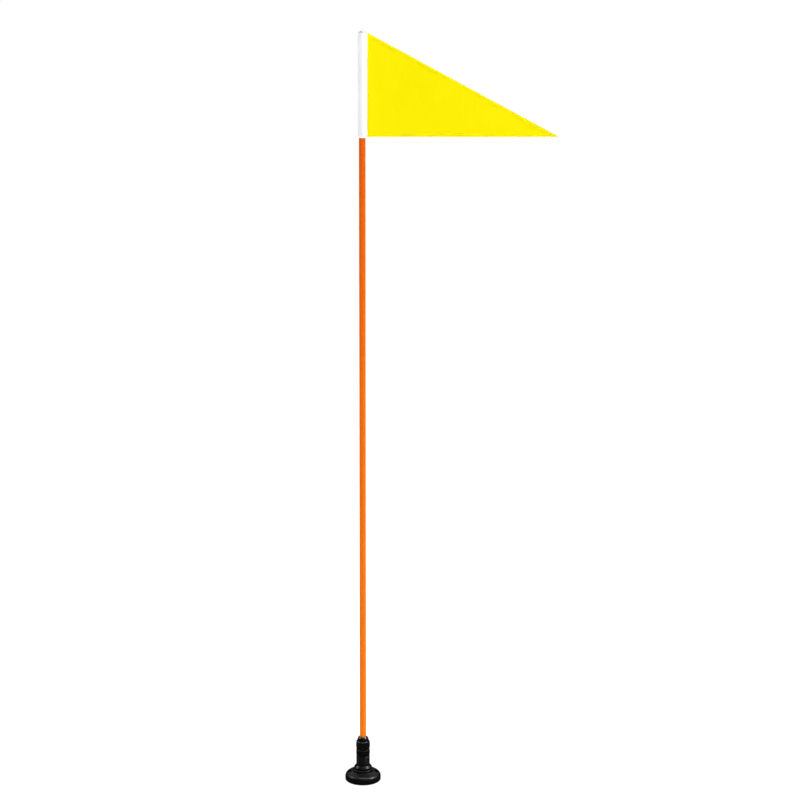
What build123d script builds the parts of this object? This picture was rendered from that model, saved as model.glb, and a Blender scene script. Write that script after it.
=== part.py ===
"""Golf flagstick on a screw-down base: a half-inch fibreglass pole clamped by a collet nut in a
round moulded foot, with a triangular pennant whose sleeve swivels at the top.

Millimetres, +Z up. The origin is the centre of the foot's underside, and the pennant flies to +X.
"""

from build123d import *
import os
from math import hypot

INCH = 25.4

# Driving dimensions
TOTAL_HEIGHT = 60 * INCH
POLE_R = 0.25 * INCH
POLE_BORE_R = 4.5
PENNANT_LENGTH = 366.6
PENNANT_HOIST = 197.7
FLANGE_R = 36.4
FLANGE_TOP = 18.5
FLANGE_RIM_TOP = 14.3
MOUNT_HOLE_SPACING = 55.0
NUT_BOTTOM = 66.9
NUT_TOP = 93.9
NUT_LOBES = 6

# Clearances
RUNNING_GAP = 0.1
MOVING_GAP = 0.3
SEAT_GAP = 0.1

# Foot
PAD_R = 34.4
PAD_THICKNESS = 2.0
PAD_STAND_OUT = 0.5
SHOULDER_ROUND = 9.5
HUB_R = 20.6
HUB_TOP = 24.1
SOCKET_FOOT_R = 17.2
SOCKET_FOOT_BOTTOM = 8.0
MOUNT_HOLE_R = 2.6
MOUNT_HEAD_R = 5.0
MOUNT_HEAD_FLOOR = 9.0
CORE_INNER_R = 19.5
CORE_OUTER_R = 31.5
CORE_TOP = 11.0
RIB_COUNT = 6
RIB_THICKNESS = 2.0
BOSS_R = 8.4

# Screws that hold the socket down from beneath
SCREW_COUNT = 3
SCREW_CIRCLE_R = 13.0
SCREW_R = 1.75
SCREW_HEAD_R = 3.4
SCREW_HEAD_HEIGHT = 2.4
SCREW_SEAT = 5.0
SCREW_TIP = 20.0

# Socket
LIP_R = 18.0
LIP_BOTTOM = 27.2
LIP_TOP = 28.0
STEM_R = 13.8
STEM_BOTTOM = 33.0
STEM_TOP = 51.8
STEM_RIBS = 5
STEM_RIB_PITCH = 3.4
STEM_FIRST_RIB = 36.9
STEM_GROOVE_R = 0.8
NECK_R = 13.2
COLLAR_R = 14.0
COLLAR_BOTTOM = 55.8
COLLAR_TOP = 66.2
SPIGOT_R = 10.9
SPIGOT_TOP = 79.0
SEAT_TOP_R = 9.4
SEAT_BOTTOM_R = 7.6
SEAT_BOTTOM = 64.5
SOCKET_FLOOR = 22.0
BUFFER_THICKNESS = 3.0

# Collet, slip ring and nut
COLLET_HEAD_R = 10.2
COLLET_HEAD_HEIGHT = 2.2
COLLET_SLIT = 1.0
COLLET_SLITS = 4
RING_THICKNESS = 1.6
RING_OUTER_R = 10.9
NUT_WAIST_R = 13.75
NUT_BELLY_R = 14.5
NUT_BELLY = 74.0
NUT_SHOULDER = 83.6
DOME_R = 11.6
DOME_BOTTOM = 85.2
NUT_MOUTH_R = 7.0
LOBE_CUT_R = 11.0
LOBE_CUT_DEPTH = 2.2
LOBE_CUT_HEIGHT = 76.0
WIPER_BOTTOM = 87.2
WIPER_THICKNESS = 2.6
WIPER_R = 8.8

# Pole ends
PLUG_HEAD = 1.5
PLUG_LENGTH = 16.0
INSERT_GAP = 0.05
KNOB_R = 6.0
KNOB_HEIGHT = 5.0
KNOB_STUD_R = 2.0
KNOB_STUD_LENGTH = 13.0
WASHER_R = 7.1
WASHER_THICKNESS = 0.8
FERRULE_LENGTH = 20.0

# Flag
SLEEVE_TOP = TOTAL_HEIGHT - 3.4
SLEEVE_LENGTH = 199.2
SLEEVE_R = 8.1
SLEEVE_CLOTH = 0.6
SLEEVE_TUCK = 0.5
SEAM_REACH = 9.8
SEAM_THICKNESS = 1.6
TUBE_R = 7.4
STOP_RING_R = 7.2
STOP_RING_HEIGHT = 3.0
PENNANT_CLOTH = 0.6
PENNANT_INSET = 0.2
THREAD_WIDTH = 0.3
THREAD_RISE = 0.15
HEM_WIDTH = 6.0

# Worked out from the above
POLE_FOOT = SOCKET_FLOOR + BUFFER_THICKNESS
POLE_TOP = TOTAL_HEIGHT - KNOB_HEIGHT - WASHER_THICKNESS
SOCKET_BORE_R = POLE_R + MOVING_GAP
COLLET_TOP = SPIGOT_TOP + MOVING_GAP + COLLET_HEAD_HEIGHT
RING_BOTTOM = COLLET_TOP + MOVING_GAP
RING_TOP = RING_BOTTOM + RING_THICKNESS
NUT_SHELF = RING_TOP + MOVING_GAP
THREAD_BORE_R = SPIGOT_R + MOVING_GAP + SEAT_GAP
SLEEVE_BOTTOM = SLEEVE_TOP - SLEEVE_LENGTH
STOP_RING_BOTTOM = SLEEVE_BOTTOM + SLEEVE_TUCK
TUBE_BOTTOM = STOP_RING_BOTTOM + STOP_RING_HEIGHT + MOVING_GAP
TUBE_TOP = POLE_TOP - MOVING_GAP
PENNANT_TOP = SLEEVE_TOP - PENNANT_INSET
PENNANT_BOTTOM = PENNANT_TOP - PENNANT_HOIST
PENNANT_TIP = SEAM_REACH + PENNANT_LENGTH


def turned(*corners):
    """A solid turned about Z. Each corner is (radius, height) or (radius, height, rounding)."""
    points = [corner[:2] for corner in corners]
    roundings = [corner[2] if len(corner) > 2 else 0 for corner in corners]
    with BuildPart() as part:
        with BuildSketch(Plane.XZ):
            with BuildLine():
                FilletPolyline(*points, radius=roundings, close=True)
            make_face()
        revolve(axis=Axis.Z)
    return part.part


def rod(radius, bottom, top, x=0.0, y=0.0):
    """An upright cylinder between two heights."""
    cylinder = Cylinder(radius, top - bottom, align=(Align.CENTER, Align.CENTER, Align.MIN))
    return Pos(x, y, bottom) * cylinder


def tube(outer, inner, bottom, top):
    """An upright ring between two heights."""
    return rod(outer, bottom, top) - rod(inner, bottom, top)


def around(shape, count, start=0.0):
    """Copies of a shape at equal angles about Z."""
    return [Rot(0, 0, start + 360 * i / count) * shape for i in range(count)]


def mount_spots(shape):
    """The shape at both mounting holes."""
    return [Pos(side * MOUNT_HOLE_SPACING / 2, 0, 0) * shape for side in (-1, 1)]


def base_flange():
    """Round moulded foot that rises to a hub ring, cored out and ribbed underneath."""
    body = turned(
        (0, PAD_THICKNESS),
        (PAD_R + MOVING_GAP, PAD_THICKNESS),
        (PAD_R + MOVING_GAP, PAD_STAND_OUT),
        (FLANGE_R, PAD_STAND_OUT, 0.8),
        (FLANGE_R, FLANGE_RIM_TOP, SHOULDER_ROUND),
        (HUB_R, FLANGE_TOP, 1.0),
        (HUB_R, HUB_TOP, 2.0),
        (SOCKET_FOOT_R + SEAT_GAP, HUB_TOP, 0.4),
        (SOCKET_FOOT_R + SEAT_GAP, SOCKET_FOOT_BOTTOM),
        (0, SOCKET_FOOT_BOTTOM),
    )
    core = tube(CORE_OUTER_R, CORE_INNER_R, PAD_THICKNESS, CORE_TOP)
    rib = Pos(CORE_OUTER_R / 2, 0, CORE_TOP / 2) * Box(CORE_OUTER_R, RIB_THICKNESS, CORE_TOP)
    core -= around(rib, RIB_COUNT, start=30)
    core -= mount_spots(rod(BOSS_R, 0, CORE_TOP))
    body -= core
    body -= mount_spots(rod(MOUNT_HOLE_R, 0, FLANGE_TOP))
    body -= mount_spots(rod(MOUNT_HEAD_R, MOUNT_HEAD_FLOOR, FLANGE_TOP + 1))
    head_hole = rod(SCREW_HEAD_R + MOVING_GAP, 0, SCREW_SEAT, x=SCREW_CIRCLE_R)
    shank_hole = rod(SCREW_R + MOVING_GAP, 0, SOCKET_FOOT_BOTTOM, x=SCREW_CIRCLE_R)
    body -= around(head_hole + shank_hole, SCREW_COUNT, start=90)
    return body


def base_pad():
    """Rubber pad let into the underside, which meets the ground."""
    body = turned((0, 0), (PAD_R, 0, 0.4), (PAD_R, PAD_THICKNESS), (0, PAD_THICKNESS))
    body -= mount_spots(rod(MOUNT_HOLE_R + 2 * MOVING_GAP, 0, PAD_THICKNESS))
    return body


def stem_screws():
    """Three pan-head screws, driven up through the flange into the socket's foot."""
    head_bottom = SCREW_SEAT - SCREW_HEAD_HEIGHT
    screw = turned(
        (0, head_bottom),
        (SCREW_HEAD_R, head_bottom, 1.0),
        (SCREW_HEAD_R, SCREW_SEAT),
        (SCREW_R, SCREW_SEAT),
        (SCREW_R, SCREW_TIP - SCREW_R),
        (0, SCREW_TIP),
    )
    blade = Pos(0, 0, head_bottom) * Box(SCREW_HEAD_R, 0.8, SCREW_HEAD_HEIGHT)
    screw -= blade + Rot(0, 0, 90) * blade
    return Compound(around(Pos(SCREW_CIRCLE_R, 0, 0) * screw, SCREW_COUNT, start=90))


def socket_stem():
    """Flared socket that the pole stands in, with a collar and the spigot that carries the nut."""
    body = turned(
        (0, SOCKET_FOOT_BOTTOM),
        (SOCKET_FOOT_R, SOCKET_FOOT_BOTTOM, 0.5),
        (SOCKET_FOOT_R, LIP_BOTTOM, 0.4),
        (LIP_R, LIP_BOTTOM, 0.3),
        (LIP_R, LIP_TOP, 0.4),
        (STEM_R, STEM_BOTTOM, 3.0),
        (STEM_R, STEM_TOP, 0.2),
        (NECK_R, STEM_TOP + 0.8, 0.3),
        (NECK_R, COLLAR_BOTTOM - 0.8, 0.3),
        (COLLAR_R, COLLAR_BOTTOM, 0.6),
        (COLLAR_R, COLLAR_TOP, 1.6),
        (SPIGOT_R, COLLAR_TOP),
        (SPIGOT_R, SPIGOT_TOP, 0.5),
        (SEAT_TOP_R, SPIGOT_TOP),
        (SEAT_BOTTOM_R, SEAT_BOTTOM),
        (SOCKET_BORE_R, SEAT_BOTTOM - 1.5),
        (SOCKET_BORE_R, SOCKET_FLOOR),
        (0, SOCKET_FLOOR),
    )
    groove = Torus(STEM_R + STEM_GROOVE_R / 2, STEM_GROOVE_R)
    body -= [Pos(0, 0, STEM_FIRST_RIB + i * STEM_RIB_PITCH) * groove for i in range(STEM_RIBS)]
    pilot = rod(SCREW_R + INSERT_GAP, 0, SCREW_TIP + 1, x=SCREW_CIRCLE_R)
    body -= around(pilot, SCREW_COUNT, start=90)
    return body


def socket_buffer():
    """Rubber disc at the bottom of the socket, under the pole's foot."""
    return rod(SOCKET_BORE_R - SEAT_GAP, SOCKET_FLOOR, POLE_FOOT)


def collet():
    """Split tapered sleeve that the nut squeezes onto the pole."""
    bottom = SEAT_BOTTOM + MOVING_GAP
    body = turned(
        (POLE_R + RUNNING_GAP, bottom),
        (SEAT_BOTTOM_R - SEAT_GAP, bottom),
        (SEAT_TOP_R - SEAT_GAP, SPIGOT_TOP),
        (SEAT_TOP_R - SEAT_GAP, SPIGOT_TOP + MOVING_GAP),
        (COLLET_HEAD_R, SPIGOT_TOP + MOVING_GAP),
        (COLLET_HEAD_R, COLLET_TOP, 0.5),
        (POLE_R + RUNNING_GAP, COLLET_TOP),
    )
    slit_top = SPIGOT_TOP - 2.0
    slit = Pos(SEAT_TOP_R / 2, 0, (bottom + slit_top) / 2) * Box(
        SEAT_TOP_R, COLLET_SLIT, slit_top - bottom
    )
    return body - around(slit, COLLET_SLITS, start=45)


def thrust_ring():
    """Slip ring in the nut, which rises with it but doesn't turn."""
    return tube(RING_OUTER_R, NUT_MOUTH_R, RING_BOTTOM, RING_TOP)


def collet_nut():
    """Domed hand nut with a finger scallop between each two of its lobes."""
    body = turned(
        (NUT_WAIST_R, NUT_BOTTOM, 0.7),
        (NUT_BELLY_R, NUT_BELLY, 60.0),
        (NUT_WAIST_R, NUT_SHOULDER, 1.2),
        (DOME_R, DOME_BOTTOM, 0.5),
        (DOME_R - 0.3, NUT_TOP - 3.2, 4.6),
        (NUT_MOUTH_R + 0.4, NUT_TOP, 0.3),
        (NUT_MOUTH_R, NUT_TOP - 0.3),
        (NUT_MOUTH_R, WIPER_BOTTOM + WIPER_THICKNESS),
        (WIPER_R, WIPER_BOTTOM + WIPER_THICKNESS),
        (WIPER_R, WIPER_BOTTOM),
        (NUT_MOUTH_R, WIPER_BOTTOM),
        (NUT_MOUTH_R, NUT_SHELF),
        (THREAD_BORE_R, NUT_SHELF),
        (THREAD_BORE_R, NUT_BOTTOM),
    )
    reach = NUT_BELLY_R - LOBE_CUT_DEPTH + LOBE_CUT_R
    scallop = Pos(reach, 0, LOBE_CUT_HEIGHT) * Sphere(LOBE_CUT_R)
    return body - around(scallop, NUT_LOBES, start=-90)


def pole_wiper():
    """Rubber ring in the nut's mouth that wipes the pole."""
    half = WIPER_THICKNESS / 2
    return turned(
        (POLE_R + RUNNING_GAP, WIPER_BOTTOM + half, 0.3),
        (WIPER_R - 1.0, WIPER_BOTTOM + INSERT_GAP),
        (WIPER_R - INSERT_GAP, WIPER_BOTTOM + INSERT_GAP),
        (WIPER_R - INSERT_GAP, WIPER_BOTTOM + WIPER_THICKNESS - INSERT_GAP),
        (WIPER_R - 1.0, WIPER_BOTTOM + WIPER_THICKNESS - INSERT_GAP),
    )


def pole():
    """Fibreglass tube."""
    return tube(POLE_R, POLE_BORE_R, POLE_FOOT + PLUG_HEAD, POLE_TOP)


def pole_foot_plug():
    """Plastic plug that closes the pole's lower end and takes its weight."""
    shank_r = POLE_BORE_R - INSERT_GAP
    return turned(
        (0, POLE_FOOT),
        (POLE_R, POLE_FOOT, 0.5),
        (POLE_R, POLE_FOOT + PLUG_HEAD),
        (shank_r, POLE_FOOT + PLUG_HEAD),
        (shank_r, POLE_FOOT + PLUG_LENGTH, 1.0),
        (0, POLE_FOOT + PLUG_LENGTH),
    )


def flag_stop_ring():
    """Ring bonded to the pole inside the sleeve's hem, which carries the flag's tube."""
    return tube(STOP_RING_R, POLE_R, STOP_RING_BOTTOM, STOP_RING_BOTTOM + STOP_RING_HEIGHT)


def tip_ferrule():
    """Threaded metal insert bonded into the pole's upper end."""
    body = rod(POLE_BORE_R - INSERT_GAP, POLE_TOP - FERRULE_LENGTH, POLE_TOP)
    thread_bottom = POLE_TOP + WASHER_THICKNESS - KNOB_STUD_LENGTH - 1.0
    return body - rod(KNOB_STUD_R + INSERT_GAP, thread_bottom, POLE_TOP)


def tip_washer():
    """Plain washer between the knob and the pole's end."""
    return tube(WASHER_R, KNOB_STUD_R + MOVING_GAP, POLE_TOP, POLE_TOP + WASHER_THICKNESS)


def tip_knob():
    """Low domed knob whose stud screws into the ferrule and keeps the flag on."""
    seat = POLE_TOP + WASHER_THICKNESS
    return turned(
        (0, seat - KNOB_STUD_LENGTH),
        (KNOB_STUD_R, seat - KNOB_STUD_LENGTH, 0.5),
        (KNOB_STUD_R, seat),
        (KNOB_R, seat, 0.3),
        (KNOB_R, TOTAL_HEIGHT - 2.6, 1.6),
        (KNOB_R - 3.4, TOTAL_HEIGHT, 6.0),
        (0, TOTAL_HEIGHT),
    )


def flag_tube():
    """White plastic liner that turns on the pole inside the cloth sleeve."""
    return tube(TUBE_R, POLE_R + MOVING_GAP, TUBE_BOTTOM, TUBE_TOP)


def flag_sleeve():
    """White cloth sleeve round the liner, with its sewn seam standing towards +X."""
    body = tube(SLEEVE_R, SLEEVE_R - SLEEVE_CLOTH, SLEEVE_BOTTOM, SLEEVE_TOP)
    start = SLEEVE_R - SLEEVE_CLOTH / 2
    seam = Box(
        SEAM_REACH - start,
        SEAM_THICKNESS,
        SLEEVE_LENGTH,
        align=(Align.MIN, Align.CENTER, Align.MIN),
    )
    return body + Pos(start, 0, SLEEVE_BOTTOM) * seam


def pennant():
    """Right-angled triangle of nylon: upright hoist, level foot, sloping top edge."""
    with BuildPart() as part:
        with BuildSketch(Plane.XZ):
            with BuildLine():
                Polyline(
                    (SEAM_REACH, PENNANT_BOTTOM),
                    (PENNANT_TIP, PENNANT_BOTTOM),
                    (SEAM_REACH, PENNANT_TOP),
                    close=True,
                )
            make_face()
        extrude(amount=PENNANT_CLOTH / 2, both=True)
    return part.part


def thread_line(start, end):
    """One row of stitching between two (x, z) points, as a thin bar on each face of the cloth."""
    run, rise = end[0] - start[0], end[1] - start[1]
    length = hypot(run, rise)
    direction = Vector(run / length, 0, rise / length)
    bars = []
    for side in (-1, 1):
        face = side * (PENNANT_CLOTH + THREAD_RISE) / 2
        middle = Vector((start[0] + end[0]) / 2, face, (start[1] + end[1]) / 2)
        place = Plane(origin=middle, x_dir=direction, z_dir=(0, 1, 0))
        bars.append(place * Box(length, THREAD_WIDTH, THREAD_RISE))
    return bars


def hoist_stitching():
    """Two rows that sew the pennant to the sleeve's seam."""
    bars = []
    for x in (SEAM_REACH + 2.0, SEAM_REACH + 4.5):
        top = PENNANT_TOP - HEM_WIDTH
        bars += thread_line((x, PENNANT_BOTTOM + 1.0), (x, top))
    return Compound(bars)


def hem_stitching():
    """One row along each of the pennant's two hemmed edges."""
    slope = hypot(PENNANT_LENGTH, PENNANT_HOIST)
    along_x, along_z = PENNANT_LENGTH / slope, -PENNANT_HOIST / slope
    left = SEAM_REACH + HEM_WIDTH
    foot = PENNANT_BOTTOM + HEM_WIDTH
    edge_x, edge_z = SEAM_REACH + along_z * HEM_WIDTH, PENNANT_TOP - along_x * HEM_WIDTH
    start = (left - edge_x) / along_x
    end = (foot + THREAD_WIDTH - edge_z) / along_z
    top_row = [(edge_x + along_x * step, edge_z + along_z * step) for step in (start, end)]
    foot_end = top_row[1][0] - 2 * THREAD_WIDTH
    bars = thread_line(*top_row) + thread_line((left, foot), (foot_end, foot))
    return Compound(bars)


SUB_PARTS = (
    base_flange,
    base_pad,
    stem_screws,
    socket_stem,
    socket_buffer,
    collet,
    thrust_ring,
    collet_nut,
    pole_wiper,
    pole,
    pole_foot_plug,
    flag_stop_ring,
    tip_ferrule,
    tip_washer,
    tip_knob,
    flag_tube,
    flag_sleeve,
    pennant,
    hoist_stitching,
    hem_stitching,
)

os.makedirs("parts", exist_ok=True)
for make in SUB_PARTS:
    export_step(make(), f"parts/{make.__name__}.step")
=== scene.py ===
"""Looks of a golf flagstick: a swivelling pennant on a slim orange pole, in a glossy black base."""

import math

import bpy
import numpy as np
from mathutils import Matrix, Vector


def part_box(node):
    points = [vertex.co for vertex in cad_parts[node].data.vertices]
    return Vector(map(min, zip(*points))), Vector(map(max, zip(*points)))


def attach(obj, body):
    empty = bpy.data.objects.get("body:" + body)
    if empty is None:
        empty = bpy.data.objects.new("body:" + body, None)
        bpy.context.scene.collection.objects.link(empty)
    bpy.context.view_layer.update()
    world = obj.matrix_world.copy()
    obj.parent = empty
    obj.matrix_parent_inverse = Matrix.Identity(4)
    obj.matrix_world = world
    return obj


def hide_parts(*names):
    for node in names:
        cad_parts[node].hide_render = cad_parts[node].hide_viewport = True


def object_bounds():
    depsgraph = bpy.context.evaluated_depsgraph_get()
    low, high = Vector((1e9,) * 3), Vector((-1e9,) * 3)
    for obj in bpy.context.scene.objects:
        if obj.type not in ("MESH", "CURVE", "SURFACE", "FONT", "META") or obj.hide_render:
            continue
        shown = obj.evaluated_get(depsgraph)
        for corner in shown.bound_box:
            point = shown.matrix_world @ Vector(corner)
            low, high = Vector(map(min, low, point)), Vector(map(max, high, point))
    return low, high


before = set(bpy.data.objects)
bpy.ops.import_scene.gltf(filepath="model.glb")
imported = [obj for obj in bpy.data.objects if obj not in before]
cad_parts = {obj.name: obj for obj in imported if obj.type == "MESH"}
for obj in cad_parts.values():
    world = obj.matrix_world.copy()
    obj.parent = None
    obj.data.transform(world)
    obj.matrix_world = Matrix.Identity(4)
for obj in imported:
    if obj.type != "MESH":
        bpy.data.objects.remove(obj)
cad_low, cad_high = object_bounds()

MM = 0.001
TAU = 2 * math.pi


# ---------------------------------------------------------------- shader helpers


def add(tree, kind, inputs=None, **properties):
    """A new shader node. Each input is given a value, or linked if the value is a socket."""
    made = tree.nodes.new(kind)
    for name, value in properties.items():
        setattr(made, name, value)
    for name, value in (inputs or {}).items():
        if isinstance(value, bpy.types.NodeSocket):
            tree.links.new(value, made.inputs[name])
        else:
            made.inputs[name].default_value = value
    return made


def mixed(tree, factor, first, second):
    """The colour between two colours."""
    node = tree.nodes.new("ShaderNodeMix")
    node.data_type = "RGBA"
    sockets = {s.identifier: s for s in node.inputs}
    for name, value in (("Factor_Float", factor), ("A_Color", first), ("B_Color", second)):
        if isinstance(value, bpy.types.NodeSocket):
            tree.links.new(value, sockets[name])
        else:
            sockets[name].default_value = value
    return next(s for s in node.outputs if s.identifier == "Result_Color")


def maths(tree, operation, first, second=0.0, third=0.0):
    """The result of a maths node."""
    node = tree.nodes.new("ShaderNodeMath")
    node.operation = operation
    for socket, value in zip(node.inputs, (first, second, third)):
        if isinstance(value, bpy.types.NodeSocket):
            tree.links.new(value, socket)
        else:
            socket.default_value = value
    return node.outputs[0]


def remap(tree, value, low, high, new_low, new_high):
    """The value moved from one range to another, and held inside it."""
    inputs = {
        "Value": value,
        "From Min": low,
        "From Max": high,
        "To Min": new_low,
        "To Max": new_high,
    }
    return add(tree, "ShaderNodeMapRange", inputs).outputs["Result"]


def place(tree, scale=(1, 1, 1), turn=(0, 0, 0)):
    """Positions in the object's own metres, stretched for a texture."""
    here = add(tree, "ShaderNodeTexCoord").outputs["Object"]
    inputs = {"Vector": here, "Scale": scale, "Rotation": turn}
    return add(tree, "ShaderNodeMapping", inputs).outputs["Vector"]


def noise(tree, scale, vector, detail=2.0):
    """A noise texture's value."""
    inputs = {"Scale": scale, "Vector": vector, "Detail": detail}
    return add(tree, "ShaderNodeTexNoise", inputs).outputs["Fac"]


def bumped(tree, height, strength, distance, normal=None):
    """A normal tilted by a height, which is a share of distance in metres."""
    inputs = {"Height": height, "Strength": strength, "Distance": distance}
    if normal is not None:
        inputs["Normal"] = normal
    return add(tree, "ShaderNodeBump", inputs).outputs["Normal"]


def shaded(name):
    """A new material, its node tree and its main shader."""
    material = bpy.data.materials.new(name)
    material.use_nodes = True
    return material, material.node_tree, material.node_tree.nodes["Principled BSDF"]


def link(tree, **sockets):
    """Links sockets to the main shader's inputs, whose names have _ for a space."""
    shader = tree.nodes["Principled BSDF"]
    for name, socket in sockets.items():
        tree.links.new(socket, shader.inputs[name.replace("_", " ")])


# ---------------------------------------------------------------- materials


def black_nylon(name, roughness, ior):
    """Glossy moulded nylon: nearly black, a little uneven in gloss, with paler worn edges."""
    material, tree, shader = shaded(name)
    shader.inputs["IOR"].default_value = ior
    here = place(tree)
    cloud = noise(tree, 90.0, here, 3.0)
    grain = noise(tree, 2600.0, here, 1.0)
    scuff = noise(tree, 700.0, place(tree, scale=(1, 1, 0.25)), 4.0)
    edge = add(tree, "ShaderNodeNewGeometry").outputs["Pointiness"]
    exposed = remap(tree, edge, 0.53, 0.62, 0, 1)
    worn = maths(tree, "MULTIPLY", exposed, remap(tree, scuff, 0.4, 0.65, 0, 1))
    plain = mixed(tree, cloud, (0.0008, 0.0008, 0.0012, 1), (0.002, 0.002, 0.0026, 1))
    colour = mixed(tree, worn, plain, (0.02, 0.02, 0.022, 1))
    low, high = roughness
    rough = maths(tree, "MULTIPLY_ADD", worn, 0.2, remap(tree, cloud, 0.3, 0.7, low, high))
    normal = bumped(tree, grain, 0.25, 0.00003)
    link(tree, Base_Color=colour, Roughness=rough, Normal=normal)
    return material


def rubber():
    """Matt black rubber with a fine mottle."""
    material, tree, _ = shaded("rubber")
    here = place(tree)
    mottle = noise(tree, 500.0, here, 4.0)
    colour = mixed(tree, mottle, (0.012, 0.012, 0.012, 1), (0.03, 0.03, 0.03, 1))
    normal = bumped(tree, noise(tree, 1800.0, here, 3.0), 0.4, 0.00008)
    link(tree, Base_Color=colour, Roughness=remap(tree, mottle, 0.3, 0.7, 0.62, 0.8), Normal=normal)
    return material


def steel():
    """Bright zinc-plated steel, faintly brushed round."""
    material, tree, shader = shaded("steel")
    shader.inputs["Metallic"].default_value = 1.0
    streak = noise(tree, 60.0, place(tree, scale=(1, 1, 40)), 3.0)
    colour = mixed(tree, streak, (0.52, 0.52, 0.5, 1), (0.7, 0.7, 0.68, 1))
    link(tree, Base_Color=colour, Roughness=remap(tree, streak, 0.3, 0.7, 0.24, 0.4))
    return material


def aluminium():
    """Turned aluminium."""
    material, tree, shader = shaded("aluminium")
    shader.inputs["Metallic"].default_value = 1.0
    ring = noise(tree, 40.0, place(tree, scale=(1, 1, 90)), 2.0)
    colour = mixed(tree, ring, (0.66, 0.66, 0.68, 1), (0.8, 0.8, 0.82, 1))
    link(tree, Base_Color=colour, Roughness=remap(tree, ring, 0.3, 0.7, 0.26, 0.42))
    return material


def moulded(name, dark, pale, roughness):
    """A plain moulded plastic with a faint cloud in its colour and a fine skin."""
    material, tree, _ = shaded(name)
    here = place(tree)
    cloud = noise(tree, 160.0, here, 3.0)
    normal = bumped(tree, noise(tree, 2400.0, here, 2.0), 0.2, 0.00003)
    low, high = roughness
    link(
        tree,
        Base_Color=mixed(tree, cloud, dark, pale),
        Roughness=remap(tree, cloud, 0.3, 0.7, low, high),
        Normal=normal,
    )
    return material


def orange_fibreglass(bottom, top):
    """Pultruded fibreglass: glass strands run up it under clear resin, with painted floor light that makes
    it brighter and yellower towards the foot and darker and redder towards the top.
    """
    material, tree, shader = shaded("orange_fibreglass")
    shader.inputs["Specular IOR Level"].default_value = 0.08
    strands = noise(tree, 900.0, place(tree, scale=(1, 1, 0.012)), 3.0)
    cloud = noise(tree, 14.0, place(tree), 2.0)
    here = add(tree, "ShaderNodeTexCoord").outputs["Object"]
    height = add(tree, "ShaderNodeSeparateXYZ", {"Vector": here}).outputs["Z"]
    # Painted light: the colour runs from a bright yellow-orange at the foot, where the floor's light falls,
    # to a dark red at the top
    up = remap(tree, height, bottom, top, 0, 1)
    base = mixed(tree, up, (0.97, 0.215, 0.0, 1), (0.61, 0.066, 0.0, 1))
    streaked = mixed(tree, remap(tree, strands, 0.35, 0.7, 0, 0.25), base, (0.98, 0.25, 0.0, 1))
    colour = mixed(tree, remap(tree, cloud, 0.35, 0.75, 0, 0.2), streaked, (0.72, 0.10, 0.0, 1))
    normal = bumped(tree, strands, 0.35, 0.00006)
    rough = remap(tree, strands, 0.3, 0.7, 0.28, 0.42)
    link(tree, Base_Color=colour, Roughness=rough, Normal=normal)
    return material


def woven(name, dark, pale, pitch, roughness, sheen, turn=(0, 0, 0)):
    """Plain-woven cloth: warp and weft cross every pitch, over and under by turns."""
    material, tree, shader = shaded(name)
    shader.inputs["Specular IOR Level"].default_value = 0.04
    shader.inputs["Sheen Weight"].default_value = sheen
    shader.inputs["Sheen Roughness"].default_value = 0.4
    shader.inputs["Sheen Tint"].default_value = pale
    here = place(tree, turn=turn)
    threads = {}
    for axis in ("X", "Z"):
        # A wave texture's band is 2 pi / 20 of its own units wide
        wave = {"Vector": here, "Scale": TAU / 20 / pitch, "Distortion": 0.6, "Detail Scale": 4.0}
        threads[axis] = add(tree, "ShaderNodeTexWave", wave, bands_direction=axis).outputs["Fac"]
    slub = noise(tree, 260.0, place(tree, scale=(1, 1, 0.1)), 3.0)
    cross = maths(tree, "MULTIPLY", threads["X"], threads["Z"])
    over = maths(tree, "SUBTRACT", maths(tree, "ADD", threads["X"], threads["Z"]), cross)
    # The slubs vary the yarn's own tone; the over-and-under part is painted shade, darker in the gaps
    # between threads and paler where one lies on top
    tone = maths(tree, "MULTIPLY_ADD", slub, 0.5, maths(tree, "MULTIPLY", over, 0.5))
    normal = bumped(tree, over, 0.5, pitch * 0.18)
    link(
        tree,
        Base_Color=mixed(tree, tone, dark, pale),
        Roughness=remap(tree, slub, 0.3, 0.7, roughness, roughness + 0.12),
        Normal=normal,
    )
    return material


def thread(name, dark, pale):
    """Twisted sewing thread."""
    material, tree, shader = shaded(name)
    shader.inputs["Specular IOR Level"].default_value = 0.2
    ply = {"Vector": place(tree, turn=(0.6, 0.6, 0)), "Scale": TAU / 20 / 0.0005}
    twist = add(tree, "ShaderNodeTexWave", ply, bands_direction="DIAGONAL").outputs["Fac"]
    normal = bumped(tree, twist, 0.6, 0.00005)
    rough = remap(tree, twist, 0, 1, 0.5, 0.62)
    # Painted shade: the colour is darker in the grooves of the twist and paler on its ridges
    link(tree, Base_Color=mixed(tree, twist, dark, pale), Roughness=rough, Normal=normal)
    return material


def floor_paint():
    """Matt white studio floor that glows, less near the object, so that only a faint shade shows."""
    material, tree, shader = shaded("floor_paint")
    here = place(tree)
    tone = noise(tree, 3.0, here, 2.0)
    away = add(tree, "ShaderNodeVectorMath", {0: here}, operation="LENGTH").outputs["Value"]
    glow = remap(tree, away, 0.1, 1.2, FLOOR_GLOW_NEAR, FLOOR_GLOW_FAR)
    link(
        tree,
        Base_Color=mixed(tree, tone, (0.29, 0.29, 0.29, 1), (0.31, 0.31, 0.31, 1)),
        Emission_Strength=glow,
    )
    shader.inputs["Roughness"].default_value = 0.9
    shader.inputs["Specular IOR Level"].default_value = 0.0
    shader.inputs["Emission Color"].default_value = (1, 1, 1, 1)
    return material


def backdrop_paint():
    """Plain white light, which the camera sees behind everything."""
    material, _, shader = shaded("backdrop_paint")
    shader.inputs["Base Color"].default_value = (0, 0, 0, 1)
    shader.inputs["Specular IOR Level"].default_value = 0.0
    shader.inputs["Emission Color"].default_value = (1, 1, 1, 1)
    shader.inputs["Emission Strength"].default_value = WALL_GLOW
    return material


# ---------------------------------------------------------------- mesh helpers


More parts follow.
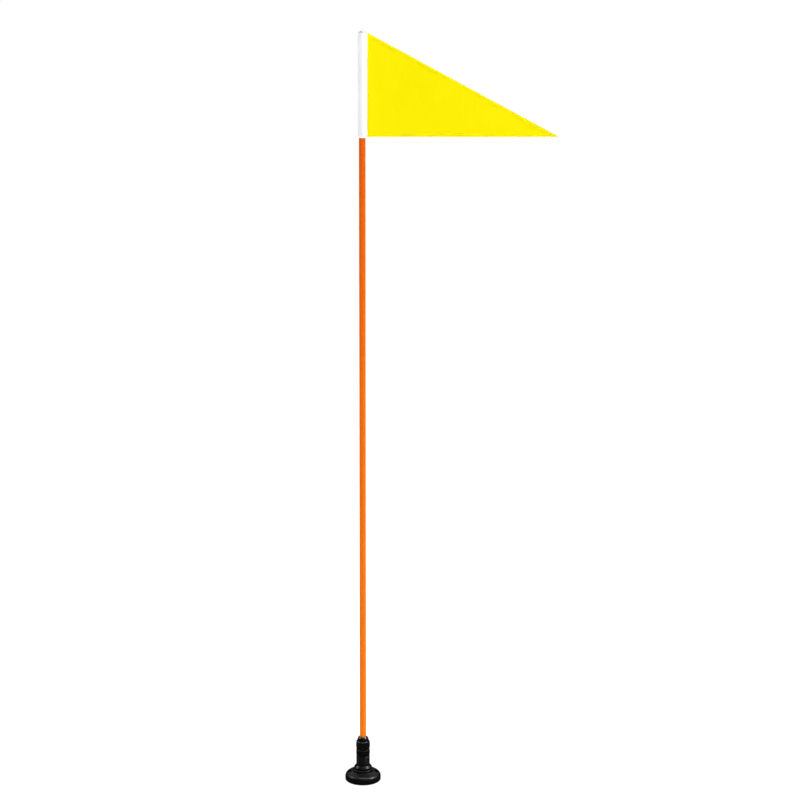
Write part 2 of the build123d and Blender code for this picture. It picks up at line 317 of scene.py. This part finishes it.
def made_piece(name, points, faces, material, body):
    """A smooth-shaded mesh piece that rides on a body and takes its finish from a slot."""
    mesh = bpy.data.meshes.new(name)
    mesh.from_pydata([tuple(point) for point in points], [], [tuple(face) for face in faces])
    mesh.materials.append(material)
    mesh.shade_smooth()
    mesh.validate()
    piece = bpy.data.objects.new(name, mesh)
    bpy.context.scene.collection.objects.link(piece)
    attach(piece, body)
    return piece


def quads(rows, columns, first=0, flipped=False, round_rows=False, round_columns=False):
    """Faces of a grid of points stored row by row."""
    faces = []
    for row in range(rows if round_rows else rows - 1):
        for column in range(columns if round_columns else columns - 1):
            after, beside = (row + 1) % rows, (column + 1) % columns
            corners = ((row, column), (row, beside), (after, beside), (after, column))
            face = [first + across * columns + along for across, along in corners]
            faces.append(face[::-1] if flipped else face)
    return faces


def smooth_step(value, low, high):
    """0 below low, 1 above high, and an S between."""
    share = np.clip((value - low) / (high - low), 0, 1)
    return share * share * (3 - 2 * share)


# ---------------------------------------------------------------- pennant

CLOTH = 0.28 * MM
EDGE_ROUND = 0.5 * MM
HEM = 6.0 * MM
HEM_LAYERS = 0.55 * MM
MOST_FOLDS = 1.4
HEM_STATIONS = np.array([0.0, 0.25, 0.7, 3.0, 5.4, 5.7, 6.0, 6.3, 7.5]) * MM
POINT_TRIM = 1.0 * MM
CLOTH_ROWS = 64
CLOTH_COLUMNS = 84
LONG_WAVE = 0.8 * MM
SHORT_WAVE = 0.35 * MM
PUCKER = 0.14 * MM
FOOT_PUCKER_PITCH = 9.8 * MM
TOP_PUCKER_PITCH = 11.2 * MM
GATHER = 0.12 * MM
GATHER_PITCH = 12.5 * MM
GATHER_REACH = 9.0 * MM
SEAM_INSET = 0.75 * HEM
FOOT_SEAM_SHARE = 0.968
TOP_SEAM_STOP = 14.0 * MM
STITCH_PITCH = 3.2 * MM
STITCH_LENGTH = 2.7 * MM
STITCH_WIDTH = 0.42 * MM
STITCH_RISE = 0.26 * MM


class Pennant:
    """The flag's triangle: where its cloth lies, how thick it is, and how far a spot is from each edge."""

    def __init__(self):
        self.low, self.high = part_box("pennant")
        self.length = self.high.x - self.low.x
        self.hoist = self.high.z - self.low.z
        self.slope = math.hypot(self.length, self.hoist)

    def edges(self, x, z):
        """Distances to the foot and to the sloping edge."""
        foot = z - self.low.z
        level = self.length * (1 - foot / self.hoist) - (x - self.low.x)
        return foot, level * self.hoist / self.slope

    def middle(self, x, z):
        """How far the cloth's middle stands off the flat: slack waves, and puckers along its seams."""
        out, rise = x - self.low.x, z - self.low.z
        across, up = out / self.length, rise / self.hoist
        along = (out * self.length - rise * self.hoist) / self.slope
        near_foot, near_top = (np.exp(-np.abs(edge - HEM) / HEM) for edge in self.edges(x, z))
        wave = LONG_WAVE * np.sin(TAU * (1.15 * across + 0.3 * up) + 0.5)
        wave += SHORT_WAVE * np.sin(TAU * (2.7 * across - 0.8 * up) + 1.9)
        foot_phase = TAU * x / FOOT_PUCKER_PITCH + 1.3 * np.sin(x * 61)
        top_phase = TAU * along / TOP_PUCKER_PITCH + 1.5 * np.sin(along * 53)
        hoist_phase = TAU * z / GATHER_PITCH + np.sin(z * 71)
        pucker = PUCKER * (np.sin(foot_phase) * near_foot + np.sin(top_phase) * near_top)
        gather = GATHER * np.sin(hoist_phase) * np.exp(-out / GATHER_REACH)
        return wave * smooth_step(across, 0, 0.25) + pucker * smooth_step(across, 0, 0.03) + gather

    def thickness(self, x, z):
        """One layer, more where a hem folds over, and rounded off at a free edge."""
        foot, top = self.edges(x, z)
        folds = sum(1 - smooth_step(edge, HEM - 0.5 * MM, HEM + 0.2 * MM) for edge in (foot, top))
        thick = CLOTH + HEM_LAYERS * np.minimum(folds, MOST_FOLDS)
        nearest = np.clip(np.minimum(foot, top) / EDGE_ROUND, 0, 1)
        return thick * (0.5 + 0.5 * np.sqrt(1 - (1 - nearest) ** 2))

    def build(self, material):
        """A thin closed triangle of cloth with folded hems along its foot and its sloping edge."""
        upward = np.linspace(HEM_STATIONS[-1], self.hoist - POINT_TRIM, CLOTH_ROWS)[1:]
        rise = np.concatenate([HEM_STATIONS, upward])
        inward = HEM_STATIONS[::-1] * self.slope / self.hoist
        sides = []
        for side in (-1, 1):
            rows = []
            for height in rise:
                reach = self.length * (1 - height / self.hoist)
                squeeze = min(1.0, 0.75 * reach / inward[0])
                plain = np.linspace(0, reach - inward[0] * squeeze, CLOTH_COLUMNS)[:-1]
                x = self.low.x + np.concatenate([plain, reach - inward * squeeze])
                z = np.full_like(x, self.low.z + height)
                y = self.middle(x, z) + side * self.thickness(x, z) / 2
                rows.append(np.stack([x, y, z], axis=1))
            sides.append(np.array(rows))
        rows, columns = sides[0].shape[:2]
        count = rows * columns
        faces = quads(rows, columns) + quads(rows, columns, first=count, flipped=True)
        border = list(range(columns))
        border += [row * columns + columns - 1 for row in range(1, rows)]
        border += [(rows - 1) * columns + column for column in range(columns - 2, -1, -1)]
        border += [row * columns for row in range(rows - 2, 0, -1)]
        for here, after in zip(border, border[1:] + border[:1]):
            faces.append((after, here, here + count, after + count))
        points = np.concatenate([side.reshape(-1, 3) for side in sides])
        piece = made_piece("pennant_cloth", points, faces, material, "flag")
        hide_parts("pennant")
        return piece


def stitch_shape():
    """One stitch along its own x: a rounded bead, arched out of the cloth, that dips at its ends."""
    stations, spokes = 7, 6
    points = []
    for share in np.linspace(-1, 1, stations):
        swell = math.sqrt(max(0.04, 1 - share * share))
        for turn in np.arange(spokes) * TAU / spokes:
            out = STITCH_RISE * (0.45 * swell - 0.25 + 0.55 * swell * math.sin(turn))
            points.append((share * STITCH_LENGTH / 2, STITCH_WIDTH / 2 * swell * math.cos(turn), out))
    faces = quads(stations, spokes, round_columns=True)
    last = (stations - 1) * spokes
    faces += [tuple(range(spokes))[::-1], tuple(range(last, last + spokes))]
    return np.array(points), faces


def sewn(name, spots, material):
    """Stitches at (centre, direction, outward) spots."""
    shape, shape_faces = stitch_shape()
    points, faces = [], []
    for index, (centre, along, out) in enumerate(spots):
        across = np.cross(out, along)
        # Each stitch lies a little askew, as thread does
        lean = 0.09 * math.sin(index * 2.4)
        run = np.array(along) + lean * across
        points.append(np.array(centre) + shape @ np.array([run, across - lean * np.array(along), out]))
        faces += [[corner + index * len(shape) for corner in face] for face in shape_faces]
    return made_piece(name, np.concatenate(points), faces, material, "flag")


def pennant_stitches(pennant, material):
    """Two rows up the hoist and one along each hem, on both faces."""
    low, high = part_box("hoist_stitching")
    foot = pennant.low.z + SEAM_INSET
    run = np.array([pennant.length, -pennant.hoist]) / pennant.slope
    start = np.array([pennant.low.x, pennant.high.z]) + SEAM_INSET * np.array([run[1], -run[0]])
    step = (low.x + HEM / 2 - start[0]) / run[0]
    lines = [((x, low.z), (x, high.z)) for x in (low.x, high.x)]
    lines.append(((high.x + 2 * MM, foot), (pennant.low.x + pennant.length * FOOT_SEAM_SHARE, foot)))
    lines.append((start + step * run, start + (pennant.slope - TOP_SEAM_STOP) * run))
    spots = []
    for begin, end in lines:
        begin, end = np.array(begin), np.array(end)
        length = np.linalg.norm(end - begin)
        along = (end - begin) / length
        for distance in np.arange(STITCH_PITCH, length, STITCH_PITCH):
            x, z = begin + distance * along
            for side in (-1, 1):
                y = pennant.middle(x, z) + side * pennant.thickness(x, z) / 2
                spots.append(((x, y, z), (along[0], 0.0, along[1]), (0.0, float(side), 0.0)))
    piece = sewn("pennant_stitches", spots, material)
    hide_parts("hoist_stitching", "hem_stitching")
    return piece


# ---------------------------------------------------------------- sleeve

SLEEVE_CLOTH = 0.5 * MM
SLEEVE_HEM = 7.0 * MM
SLEEVE_HEM_LAYERS = 0.32 * MM
SLEEVE_SEAM_INSET = 1.2 * MM
END_STATIONS = np.array([0.0, 0.12, 0.3, 0.6, 2.5, 5.0, 6.4, 6.8, 7.3, 8.5]) * MM
END_ROUND = 0.5 * MM
END_SHRINK = 0.25 * MM
DRAG = 0.11 * MM
SEAM_NOSE = 0.9 * MM
SEAM_TURN = 0.55
SLEEVE_ROWS = 96
SLEEVE_COLUMNS = 112
INNER_ROW_STRIDE = 7


class Sleeve:
    """The white cloth tube: a teardrop round the liner, drawn together where the pennant is sewn on."""

    def __init__(self):
        self.low, self.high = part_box("flag_sleeve")
        self.radius = -self.low.x
        self.reach = self.high.x

    def outline(self, turns):
        """Distance from the axis at each turn: the circle, and its tangents to the seam."""
        tangent = math.acos(self.radius / self.reach)
        off = np.abs((turns + math.pi) % TAU - math.pi)
        flat = self.radius / np.cos(np.clip(tangent - off, 0, tangent))
        nose = self.reach - SEAM_NOSE * smooth_step(off, 0, 0.12)
        return np.minimum(flat, np.maximum(nose, self.radius))

    def wrinkle(self, turns, z):
        """Slight drags in the cloth, stronger near the hems and none at the seam."""
        near = np.exp(-(self.high.z - z) / 0.02) + np.exp(-(z - self.low.z) / 0.02)
        drag = np.sin(3 * turns + z * 95) * np.sin(z * 210 + 1.1) + 0.6 * np.sin(2 * turns - z * 160 + 2)
        off = np.abs((turns + math.pi) % TAU - math.pi)
        return DRAG * drag * (0.6 + near) * smooth_step(off, 0.3, 1.2)

    def hem(self, z):
        """How much the folded hems thicken the cloth, and its cut ends thin it."""
        end = np.minimum(z - self.low.z, self.high.z - z)
        step = 1 - smooth_step(end, SLEEVE_HEM - 0.4 * MM, SLEEVE_HEM + 0.3 * MM)
        return SLEEVE_HEM_LAYERS * step - END_SHRINK * np.sqrt(np.clip(1 - end / END_ROUND, 0, 1))

    def outside(self, turns, z):
        """Distance from the axis to the cloth's outer face."""
        return self.outline(turns) + self.hem(z) + self.wrinkle(turns, z)

    def build(self, material):
        """A closed wall of cloth, outside then inside, with its ends joined."""
        turns = np.arange(SLEEVE_COLUMNS) * TAU / SLEEVE_COLUMNS
        last = END_STATIONS[-1]
        plain = np.linspace(self.low.z + last, self.high.z - last, SLEEVE_ROWS)[1:-1]
        heights = np.concatenate([self.low.z + END_STATIONS, plain, self.high.z - END_STATIONS[::-1]])
        rings = [(self.outside(turns, z), z) for z in heights]
        inner = np.minimum(self.outline(turns) - SLEEVE_CLOTH, self.radius + SEAM_NOSE)
        rings += [(inner, z) for z in heights[::-1][::INNER_ROW_STRIDE]]
        points = [
            (radius * math.cos(turn), radius * math.sin(turn), z)
            for level, z in rings
            for radius, turn in zip(level, turns)
        ]
        faces = quads(len(rings), SLEEVE_COLUMNS, round_rows=True, round_columns=True)
        piece = made_piece("sleeve_cloth", points, faces, material, "flag")
        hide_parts("flag_sleeve")
        return piece

    def stitches(self, material):
        """One row round each hem, from one side of the pennant to the other."""
        spots = []
        turns = np.arange(SEAM_TURN, TAU - SEAM_TURN, STITCH_PITCH / self.radius)
        inset = SLEEVE_HEM - SLEEVE_SEAM_INSET
        for z in (self.low.z + inset, self.high.z - inset):
            for turn, level in zip(turns, self.outside(turns, z)):
                out = (math.cos(turn), math.sin(turn), 0.0)
                spots.append(((level * out[0], level * out[1], z), (-out[1], out[0], 0.0), out))
        return sewn("sleeve_stitches", spots, material)


# ---------------------------------------------------------------- nut

AROUND = 240
NUT_LOBES = 6
NUT_WAIST_DEPTH = 0.75 * MM
NUT_DOME_DEPTH = 2.8 * MM
NUT_MOUTH = 7.0 * MM
NUT_SHOULDER_RISE = 16.7 * MM
NUT_DOME_RISE = 1.6 * MM
NUT_CROWN_DROP = 5.0 * MM
NUT_LEAD_IN = 0.4 * MM
NUT_FOOT_ROUND = 0.6 * MM
NUT_EDGE_DROP = 0.5 * MM
NUT_EDGE_ROUND = 0.7 * MM
NUT_DOME_TAPER = 0.2 * MM
NUT_BULGES = (NUT_WAIST_DEPTH, 0.2 * MM, -0.2 * MM, 0.06 * MM, 0.4 * MM)
NUT_ARC_STEPS = (34, 5, 6, 4, 18)
RING_SIDE_GAP = 0.4 * MM
RING_TOP_GAP = 0.3 * MM
WIPER_GAP = 0.05 * MM
SCALLOP_BLEND = 0.45 * MM
SCALLOP_RADIUS = 11.0 * MM
SCALLOP_DEPTH = 2.2 * MM
SCALLOP_RISE = 9.1 * MM


def soft_min(first, second, blend):
    """The lesser of two, with the crease between them rounded."""
    share = np.clip(0.5 + 0.5 * (second - first) / blend, 0, 1)
    return second * (1 - share) + first * share - blend * share * (1 - share)


def arc_between(start, end, bulge, steps):
    """Points from start to end, bowed out sideways by bulge at the middle."""
    (r0, z0), (r1, z1) = start, end
    length = math.hypot(r1 - r0, z1 - z0)
    share = np.linspace(0, 1, steps + 1)
    bow = bulge * 4 * share * (1 - share)
    level = r0 + (r1 - r0) * share + bow * (z1 - z0) / length
    height = z0 + (z1 - z0) * share - bow * (r1 - r0) / length
    return list(zip(level, height))


def nut_outside(low, high):
    """The nut's outline from its foot up: waist, belly, rounded shoulder, neck and dome."""
    bottom, top, belly = low.z, high.z, high.x
    waist, dome = belly - NUT_WAIST_DEPTH, belly - NUT_DOME_DEPTH
    shoulder = bottom + NUT_SHOULDER_RISE
    corners = [
        (waist, bottom + NUT_FOOT_ROUND),
        (waist, shoulder - NUT_EDGE_DROP),
        (waist - NUT_EDGE_ROUND, shoulder),
        (dome, shoulder + NUT_DOME_RISE),
        (dome - NUT_DOME_TAPER, top - NUT_CROWN_DROP),
        (NUT_MOUTH + NUT_LEAD_IN, top),
    ]
    chamfer = (waist - NUT_FOOT_ROUND / 3, bottom + NUT_FOOT_ROUND / 4)
    outline = [(waist - NUT_FOOT_ROUND, bottom), chamfer, corners[0]]
    for start, end, bulge, steps in zip(corners, corners[1:], NUT_BULGES, NUT_ARC_STEPS):
        outline += arc_between(start, end, bulge, steps)[1:]
    return outline


def nut_inside(low, high):
    """The nut's bore from its mouth down: the wiper's groove, and the slip ring's wide seat."""
    wiper_low, wiper_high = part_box("pole_wiper")
    ring_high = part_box("thrust_ring")[1]
    pocket = wiper_high.x + WIPER_GAP
    bore = ring_high.x + RING_SIDE_GAP
    shelf = ring_high.z + RING_TOP_GAP
    return [
        (NUT_MOUTH + 0.1 * MM, high.z - 0.12 * MM),
        (NUT_MOUTH, high.z - 0.5 * MM),
        (NUT_MOUTH, wiper_high.z),
        (pocket, wiper_high.z + 0.03 * MM),
        (pocket, wiper_low.z - 0.03 * MM),
        (NUT_MOUTH, wiper_low.z),
        (NUT_MOUTH, shelf),
        (bore, shelf + 0.02 * MM),
        (bore, low.z + NUT_LEAD_IN),
        (bore + NUT_LEAD_IN, low.z),
    ]


def nut(material):
    """The hand nut: a waisted body with soft finger scallops under a polished dome."""
    low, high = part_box("collet_nut")
    outside, inside = nut_outside(low, high), nut_inside(low, high)
    turns = np.arange(AROUND) * TAU / AROUND
    sector = TAU / NUT_LOBES
    off = (turns + math.pi / 2 + sector / 2) % sector - sector / 2
    reach = high.x - SCALLOP_DEPTH + SCALLOP_RADIUS
    points = []
    for radius, z in outside:
        inner = SCALLOP_RADIUS**2 - (reach * np.sin(off)) ** 2 - (z - low.z - SCALLOP_RISE) ** 2
        cut = reach * np.cos(off) - np.sqrt(np.clip(inner, 0, None))
        level = np.where(inner > 0, soft_min(np.full(AROUND, radius), cut, SCALLOP_BLEND), radius)
        points += [(r * math.cos(turn), r * math.sin(turn), z) for r, turn in zip(level, turns)]
    for radius, z in inside:
        points += [(radius * math.cos(turn), radius * math.sin(turn), z) for turn in turns]
    faces = quads(len(outside) + len(inside), AROUND, round_rows=True, round_columns=True)
    piece = made_piece("hand_nut", points, faces, material, "nut")
    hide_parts("collet_nut")


# ---------------------------------------------------------------- studio

FLOOR_GLOW_NEAR = 0.86
FLOOR_GLOW_FAR = 0.95
WALL_GLOW = 1.0
FLOOR_SIDE = 60.0
WALLS = 8
WALL_AT = 26.0
ROOM_DARK = 0.04
ROOM_PALE = 0.6
CAMERA_SPOT = (0.0241, -4.41, 1.949)
CAMERA_PITCH = 14.563
CAMERA_LENS = 104.25
CAMERA_SHIFT = 0.0315
SENSOR = 36.0


def camera():
    """The camera stands three lengths away, above the pole's top, and looks down at it."""
    data = bpy.data.cameras.new("camera")
    data.lens = CAMERA_LENS
    data.sensor_width = SENSOR
    data.shift_x = CAMERA_SHIFT
    data.clip_end = 200.0
    made = bpy.data.objects.new("camera", data)
    made.location = CAMERA_SPOT
    made.rotation_euler = (math.radians(90 - CAMERA_PITCH), 0, 0)
    bpy.context.scene.collection.objects.link(made)
    bpy.context.scene.camera = made


def softbox(name, spot, target, size, power, glossy=True):
    """A square soft light that points at a place. Without gloss it lights but isn't mirrored."""
    data = bpy.data.lights.new(name, "AREA")
    data.shape = "RECTANGLE"
    data.size, data.size_y = size
    data.energy = power
    made = bpy.data.objects.new(name, data)
    made.location = spot
    made.rotation_mode = "QUATERNION"
    made.rotation_quaternion = (Vector(target) - Vector(spot)).to_track_quat("-Z", "Y")
    made.visible_glossy = glossy
    made.visible_camera = False
    bpy.context.scene.collection.objects.link(made)


def panel(name, corners, material):
    """A flat stage piece that gloss doesn't mirror."""
    mesh = bpy.data.meshes.new(name)
    mesh.from_pydata(corners, [], [(0, 1, 2, 3)])
    mesh.materials.append(material)
    made = bpy.data.objects.new(name, mesh)
    made.visible_glossy = False
    bpy.context.scene.collection.objects.link(made)
    return made


def room():
    """The room, which gloss mirrors: dark, with a pale band part way up behind and at the right."""
    world = bpy.data.worlds.new("room")
    world.use_nodes = True
    tree = world.node_tree
    here = add(tree, "ShaderNodeTexCoord").outputs["Generated"]
    way = add(tree, "ShaderNodeSeparateXYZ", {"Vector": here})
    behind = remap(tree, way.outputs["Y"], -0.2, 0.7, 0, 0.7)
    right = remap(tree, way.outputs["X"], 0.2, 0.9, 0, 1)
    sides = maths(tree, "MAXIMUM", behind, right)
    rise = remap(tree, way.outputs["Z"], 0.3, 0.5, 0, 1)
    fall = remap(tree, way.outputs["Z"], 0.75, 0.95, 1, 0)
    pale = maths(tree, "MULTIPLY", sides, maths(tree, "MULTIPLY", rise, fall))
    surroundings = tree.nodes["Background"]
    surroundings.inputs["Color"].default_value = (1, 1, 1, 1)
    tree.links.new(maths(tree, "MULTIPLY_ADD", pale, ROOM_PALE, ROOM_DARK), surroundings.inputs["Strength"])
    return world


def studio():
    """White floor and walls, a strong box at the right, a weak one at the left, and soft fills."""
    half = FLOOR_SIDE / 2
    floor = [(-half, -half, 0), (half, -half, 0), (half, half, 0), (-half, half, 0)]
    panel("floor", floor, floor_paint())
    white_wall = backdrop_paint()
    # The walls are for the camera alone, and neither light nor shade anything
    for side in range(WALLS):
        here, after = (TAU * (side + step) / WALLS for step in (-0.5, 0.5))
        foot = [(WALL_AT * math.sin(turn), WALL_AT * math.cos(turn)) for turn in (here, after)]
        (left, near), (right, far) = foot
        wall = [(left, near, -1), (right, far, -1), (right, far, half), (left, near, half)]
        backdrop = panel(f"backdrop_{side + 1}", wall, white_wall)
        backdrop.visible_diffuse = False
        backdrop.visible_shadow = False
    scene = bpy.context.scene
    scene.world = room()
    scene.view_settings.view_transform = "Standard"
    scene.view_settings.look = "None"
    middle = (0, 0, 0.55 * cad_high.z)
    softbox("box_right", (2.6, -0.35, 3.0), middle, (1.2, 1.2), 62)
    softbox("box_left", (-2.6, 0.4, 2.3), middle, (1.0, 1.0), 22)
    softbox("fill_front", (0.9, -4.2, 2.2), middle, (3.0, 2.0), 82, glossy=False)
    softbox("fill_top", (0, -0.4, 5.0), middle, (3.0, 3.0), 60)
    softbox("fill_back", (-0.9, 4.2, 2.2), middle, (3.0, 2.0), 60, glossy=False)


# ---------------------------------------------------------------- assemble

camera()
studio()
pole_low, pole_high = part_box("pole")
black = black_nylon("moulded_nylon", (0.30, 0.38), 1.5)
polished = black_nylon("polished_nylon", (0.10, 0.16), 1.72)
dark_rubber = rubber()
acetal = moulded("acetal", (0.72, 0.70, 0.64, 1), (0.82, 0.80, 0.74, 1), (0.35, 0.5))
white_plastic = moulded("white_plastic", (0.80, 0.80, 0.80, 1), (0.88, 0.88, 0.88, 1), (0.35, 0.5))
tip_plastic = moulded("tip_plastic", (0.74, 0.58, 0.56, 1), (0.82, 0.68, 0.66, 1), (0.3, 0.45))
orange = orange_fibreglass(pole_low.z, pole_high.z)
yellow = woven("yellow_nylon", (0.85, 0.72, 0.0, 1), (0.93, 0.81, 0.0, 1), 0.0006, 0.6, 0.0)
white = woven("white_polyester", (0.80, 0.80, 0.82, 1), (0.90, 0.90, 0.92, 1), 0.0007, 0.65, 0.0)
yellow_thread = thread("yellow_thread", (0.84, 0.70, 0.0, 1), (0.93, 0.81, 0.0, 1))
white_thread = thread("white_thread", (0.72, 0.72, 0.74, 1), (0.88, 0.88, 0.90, 1))

FINISHES = {
    "base_flange": black,
    "base_pad": dark_rubber,
    "stem_screws": steel(),
    "socket_stem": black,
    "socket_buffer": dark_rubber,
    "collet": acetal,
    "thrust_ring": acetal,
    "pole_wiper": dark_rubber,
    "pole": orange,
    "pole_foot_plug": dark_rubber,
    "flag_stop_ring": acetal,
    "tip_ferrule": aluminium(),
    "tip_washer": acetal,
    "tip_knob": tip_plastic,
    "flag_tube": white_plastic,
}
for name, finish in FINISHES.items():
    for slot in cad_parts[name].material_slots:
        slot.material = finish

flag = Pennant()
cloth = flag.build(yellow)
flag_seams = pennant_stitches(flag, yellow_thread)
tube = Sleeve()
tube_cloth = tube.build(white)
tube_seams = tube.stitches(white_thread)
nut(polished)
